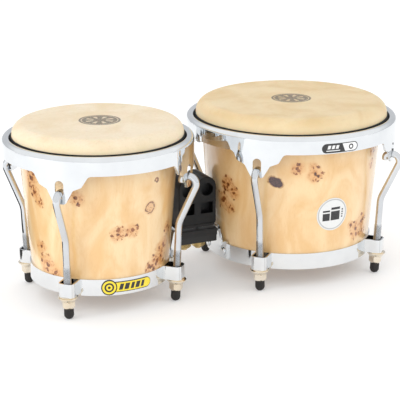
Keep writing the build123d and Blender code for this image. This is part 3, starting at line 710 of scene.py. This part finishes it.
# ---- hooks ----
def make_hook(drum, number, material):
    """Bent rod with its rolled thread as a real helix, in place of the plain CAD hook."""
    angle = drum["lugs"][number - 1]
    out = Vector((math.cos(angle), math.sin(angle), 0.0))
    side = Vector((math.sin(angle), -math.cos(angle), 0.0))
    axis = Vector((drum["x"], 0.0, 0.0))
    foot = drum["rim"] - FOOT_INSET
    lean = math.tan(ROD_TILT)
    bend = (foot + HOOK_BEND_Z * lean, HOOK_BEND_Z)
    thread_top = (foot + THREAD_TOP * lean, THREAD_TOP)
    rod_end = (foot + ROD_END * lean, ROD_END)
    tip = drum["rim"] - HOOK_TIP_INSET
    crown = drum["rim"] + HOOK_OVERHANG
    corners = [(tip, HOOK_TIP_Z), (tip, HOOK_EYE_Z), (crown, HOOK_EYE_Z), bend, thread_top]
    shank = evenly(rounded_path(corners, HOOK_BENDS, 0.7 * MM), 4.0 * MM)
    sides = 28
    rings = []

    def ring(centre, along, radius_at):
        """One ring of points square to the rod, its radius a function of the turn."""
        right = Vector((along.y, -along.x))
        points = []
        for k in range(sides):
            turn = 2 * math.pi * k / sides
            radius = radius_at(turn)
            flat = centre + right * (math.cos(turn) * radius)
            base = axis + out * flat.x + Vector((0.0, 0.0, flat.y))
            points.append(base + side * (math.sin(turn) * radius))
        return points

    # tip of the hook, its edge rounded over
    first = (shank[1] - shank[0]).normalized()
    for inset, shrink in ((0.0, 0.62), (0.12, 0.86), (0.45, 1.0)):
        centre = shank[0] + first * (inset * ROD_RADIUS)
        rings.append(ring(centre, first, lambda turn, f=shrink: ROD_RADIUS * f))
    for before, here, after in zip(shank, shank[1:], shank[2:]):
        along = (after - before).normalized()
        if (here - shank[0]).length > 0.6 * ROD_RADIUS:
            rings.append(ring(here, along, lambda turn: ROD_RADIUS))

    # the thread runs from its faded start down to the chamfered end of the rod
    start, end = Vector(thread_top), Vector(rod_end)
    length = (end - start).length
    down = (end - start).normalized()
    per_turn = 7
    count = int(length / THREAD_PITCH * per_turn)
    for k in range(count + 1):
        distance = length * k / count
        fade = min(1.0, distance / (THREAD_FADE_TURNS * THREAD_PITCH))
        taper = min(1.0, (length - distance) / ROD_CHAMFER * 0.2 + 0.8)

        def thread_radius(turn, distance=distance, fade=fade, taper=taper):
            phase = (distance / THREAD_PITCH + turn / (2 * math.pi)) % 1.0
            ridge = 1.0 - abs(2.0 * phase - 1.0)
            ridge = min(1.0, max(0.0, ridge * 1.5 - 0.25))  # flat crests and roots
            full = THREAD_ROOT_RADIUS + (THREAD_RADIUS - THREAD_ROOT_RADIUS) * ridge
            return (ROD_RADIUS * (1.0 - fade) + full * fade) * taper

        rings.append(ring(start + down * distance, down, thread_radius))

    verts = [tuple(p) for points in rings for p in points]
    faces = []
    for row in range(len(rings) - 1):
        for k in range(sides):
            nxt = (k + 1) % sides
            a, b = row * sides + k, row * sides + nxt
            faces.append((a, b, b + sides, a + sides))
    faces.append(tuple(reversed(range(sides))))
    last = (len(rings) - 1) * sides
    faces.append(tuple(range(last, last + sides)))
    name = f"{drum['name']}_hook_rod_{number}"
    obj = mesh_object(name, verts, faces, material, f"{drum['name']}_collar")
    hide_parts(f"{drum['name']}_hook_{number}")
    return obj


# ---- heads ----
def make_head(drum, material):
    """Skin pulled over the shell: hardly crowned, with soft unevenness and small pleats below."""
    side_r, top, low, shoulder = drum["skin"], drum["skin_top"], drum["skin_low"], drum["shoulder"]
    flat_r = side_r - shoulder
    shoulder_z = top - shoulder
    face_rings, shoulder_rings, side_rings, segments = 26, 14, 8, 240
    profile = [(flat_r * k / face_rings, top) for k in range(1, face_rings + 1)]
    for k in range(1, shoulder_rings + 1):
        turn = math.pi / 2 * k / shoulder_rings
        profile.append((flat_r + shoulder * math.sin(turn), shoulder_z + shoulder * math.cos(turn)))
    for k in range(1, side_rings + 1):
        profile.append((side_r, shoulder_z + (low - shoulder_z) * k / side_rings))
    seed = Vector((drum["x"] * 40.0, 3.1, 7.7))

    def place(radius, z, k):
        turn = 2 * math.pi * k / segments
        here = Vector((math.cos(turn), math.sin(turn), 0.0))
        reach = min(1.0, radius / side_r)
        # the playing face dips a little where it is stretched between high spots
        wave = noise.noise(here * (3.0 * reach) + seed) * FACE_DIP * (1.0 - reach**6)
        dip = 0.0 if radius > flat_r else -abs(wave)
        # below the shoulder the skin gathers in shallow pleats
        gathered = max(0.0, min(1.0, (shoulder_z + 0.004 - z) / 0.012))
        pleat = noise.noise(here * 14.0 + seed) * PLEAT_DEPTH * gathered
        radius = radius - abs(pleat)
        return (drum["x"] + radius * here.x, radius * here.y, z + dip)

    inner = []
    for radius, z in profile:
        if radius <= flat_r + 1e-9:
            inner.append((radius, z - SKIN_THICKNESS))
        else:
            out = Vector((radius - flat_r, z - shoulder_z))
            if z >= shoulder_z:
                out *= (shoulder - SKIN_THICKNESS) / out.length
                inner.append((flat_r + out.x, shoulder_z + out.y))
            else:
                inner.append((radius - SKIN_THICKNESS, z))
    loop = profile + list(reversed(inner))
    verts = [(drum["x"], 0.0, top), (drum["x"], 0.0, top - SKIN_THICKNESS)]
    for radius, z in loop:
        verts += [place(radius, z, k) for k in range(segments)]
    faces = []
    for k in range(segments):
        nxt = (k + 1) % segments
        faces.append((0, 2 + k, 2 + nxt))
        last = 2 + (len(loop) - 1) * segments
        faces.append((1, last + nxt, last + k))
    for row in range(len(loop) - 1):
        for k in range(segments):
            nxt = (k + 1) % segments
            a, b = 2 + row * segments + k, 2 + row * segments + nxt
            faces.append((a, a + segments, b + segments, b))
    obj = mesh_object(f"{drum['name']}_rawhide_head", verts, faces, material, None)
    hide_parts(f"{drum['name']}_head_skin")
    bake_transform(obj)
    return obj


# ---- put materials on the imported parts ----
plating = chrome("chrome_plate_bright")
rod_plating = chrome("hook_plating", tint="CDD0D4", sheen="D6D9DC", rough=0.06, darkened=thread_darkening)
# warm tint of the nut and washer plating: a painted reflection of the wood around them
warm_reflection_plating = chrome("nut_plating_painted_warm", tint="E6D8C0", sheen="EEE6D8", rough=0.16, smear=0.08)
hoop_steel = machined("hoop_steel_plain", "A7A8AA", "77787B")
brass = machined("stud_brass_worn", "D8C08A", "A98F5C", rough=0.24)
black_steel = moulded("clamp_black_paint", "0A0A0B", "18191B", rough=0.34, grain=700.0)
block_plastic = moulded("block_plastic_grained", "070708", "121314", rough=0.36, gloss=0.32)
rubber = moulded("foot_rubber_matte", "1A1716", "2B2725", rough=0.62, grain=1100.0)
# dark rubber for the block pads, also worn by the rim liners, where it is a painted shadow in the
# gap
pad_rubber_and_gap_shade = moulded("pad_rubber_matte", "101011", "242426", rough=0.6, grain=900.0)

for drum, knots, woods, hides in (
    (SMALL, (SMALL_BURLS, SMALL_EYES, None), SMALL_WOODS, SMALL_HIDE),
    (LARGE, (LARGE_BURLS, LARGE_EYES, LARGE_OVAL_KNOT), LARGE_WOODS, LARGE_HIDE),
):
    name = drum["name"]
    wear(NODES[f"{name}_shell"], burl_wood(drum, *knots, *woods))
    wear(NODES[f"{name}_flesh_hoop"], hoop_steel)
    for part in ("rim", "bottom_ring", "block_strap", "strap_rivets"):
        wear(NODES[f"{name}_{part}"], plating)
    # the brackets' inner faces get a dark steel colour: painted shade in their hollow
    bracket_plating_shaded_inside = chrome(f"{name}_bracket_plating_shaded_inside", darkened=bracket_inner_shade(drum))
    wear(NODES[f"{name}_lug_brackets"], bracket_plating_shaded_inside)
    # the dark rim liner stands in the gap between rim and head where there is only shade: a painted
    # shadow
    wear(NODES[f"{name}_rim_liner"], pad_rubber_and_gap_shade)
    wear(NODES[f"{name}_washers"], warm_reflection_plating)
    wear(NODES[f"{name}_rubber_caps"], rubber)
    for number in range(1, 5):
        wear(NODES[f"{name}_nut_{number}"], warm_reflection_plating)
        make_hook(drum, number, rod_plating)
    make_head(drum, rawhide(drum, *hides))

wear(NODES["block_body"], block_plastic)
wear(NODES["block_top_pad"], pad_rubber_and_gap_shade)
wear(NODES["block_base_pad"], pad_rubber_and_gap_shade)
wear(NODES["block_clamp_plate"], black_steel)
wear(NODES["block_studs"], brass)
wear(NODES["block_lock_nuts"], brass)
wear(NODES["block_washers"], hoop_steel)
wear(NODES["large_shell_badge"], shell_badge())
wear(NODES["large_rim_badge"], rim_badge())
wear(NODES["small_ring_badge"], ring_badge())


# ---- floor, light and camera ----
def flat_sheet(name, corners):
    """A single four-cornered face."""
    mesh = bpy.data.meshes.new(name)
    mesh.from_pydata(corners, [], [(0, 1, 2, 3)])
    sheet = bpy.data.objects.new(name, mesh)
    bpy.context.scene.collection.objects.link(sheet)
    return sheet


def make_floor():
    """Pale floor with a slight glow of its own, which keeps the shadow pale."""
    size = FLOOR_REACH
    corners = [(-size, -size, 0.0), (size, -size, 0.0), (size, size, 0.0), (-size, size, 0.0)]
    floor = flat_sheet("floor", corners)
    s = Shader("floor_pale", roughness=0.9)
    s.colour(FLOOR_COLOUR)
    s.set(Emission_Color=(1.0, 1.0, 1.0, 1.0), Emission_Strength=FLOOR_GLOW)
    s.set(Specular_IOR_Level=0.1)
    wear(floor, s.material)


def make_light(name, place, target, width, height, power):
    """A soft area lamp that lights the drums but isn't reflected in them."""
    data = bpy.data.lights.new(name, "AREA")
    data.shape = "RECTANGLE"
    data.size = width
    data.size_y = height
    data.energy = power
    lamp = bpy.data.objects.new(name, data)
    lamp.location = place
    lamp.rotation_euler = (Vector(target) - Vector(place)).to_track_quat("-Z", "Y").to_euler()
    lamp.visible_glossy = False
    bpy.context.scene.collection.objects.link(lamp)


def make_world():
    """Pale studio: white in front and overhead, greyer low down behind the drums."""
    world = bpy.data.worlds.new("studio")
    bpy.context.scene.world = world
    world.use_nodes = True
    tree = world.node_tree
    coords = tree.nodes.new("ShaderNodeTexCoord")
    behind = tree.nodes.new("ShaderNodeVectorMath")
    behind.operation = "DOT_PRODUCT"
    behind.inputs[1].default_value = CAMERA_AHEAD + Vector((0.0, 0.0, -0.7))
    tree.links.new(coords.outputs["Generated"], behind.inputs[0])
    ramp = tree.nodes.new("ShaderNodeValToRGB")
    ends = ((0.1, STUDIO_NEAR), (0.6, STUDIO_FAR))
    for element, (position, colour) in zip(ramp.color_ramp.elements, ends):
        element.position = position
        element.color = colour
    tree.links.new(behind.outputs["Value"], ramp.inputs[0])
    background = tree.nodes["Background"]
    tree.links.new(ramp.outputs[0], background.inputs[0])
    background.inputs[1].default_value = STUDIO_STRENGTH


def make_reflection_card():
    """Dark card on the floor left of the drums, only there for the chrome rods to reflect."""
    corners = [tuple(CAMERA_AHEAD * v - CAMERA_RIGHT * u + CARD_LIFT) for u, v in CARD_CORNERS]
    card = flat_sheet("reflection_card", corners)
    wear(card, moulded("card_dark", "202022", "2C2C2E", rough=0.8))
    card.visible_camera = False
    card.visible_diffuse = False
    card.visible_shadow = False
    card.visible_transmission = False


def make_camera():
    """Looks at the drums from the badge side, a little from the left and from above."""
    data = bpy.data.cameras.new("camera")
    data.sensor_width = 36.0
    data.lens = CAMERA_LENS
    data.clip_start = 0.05
    data.clip_end = 60.0
    camera = bpy.data.objects.new("camera", data)
    elevation = math.radians(CAMERA_ELEVATION)
    back = Vector((0.0, 0.0, math.sin(elevation))) - CAMERA_AHEAD * math.cos(elevation)
    camera.location = CAMERA_TARGET + back * CAMERA_DISTANCE
    camera.rotation_euler = (-back).to_track_quat("-Z", "Y").to_euler()
    bpy.context.scene.collection.objects.link(camera)
    bpy.context.scene.camera = camera


make_floor()
make_world()
make_reflection_card()
for light in LIGHTS:
    make_light(*light)
make_camera()
bpy.context.scene.view_settings.view_transform = "Standard"

bpy.context.view_layer.update()
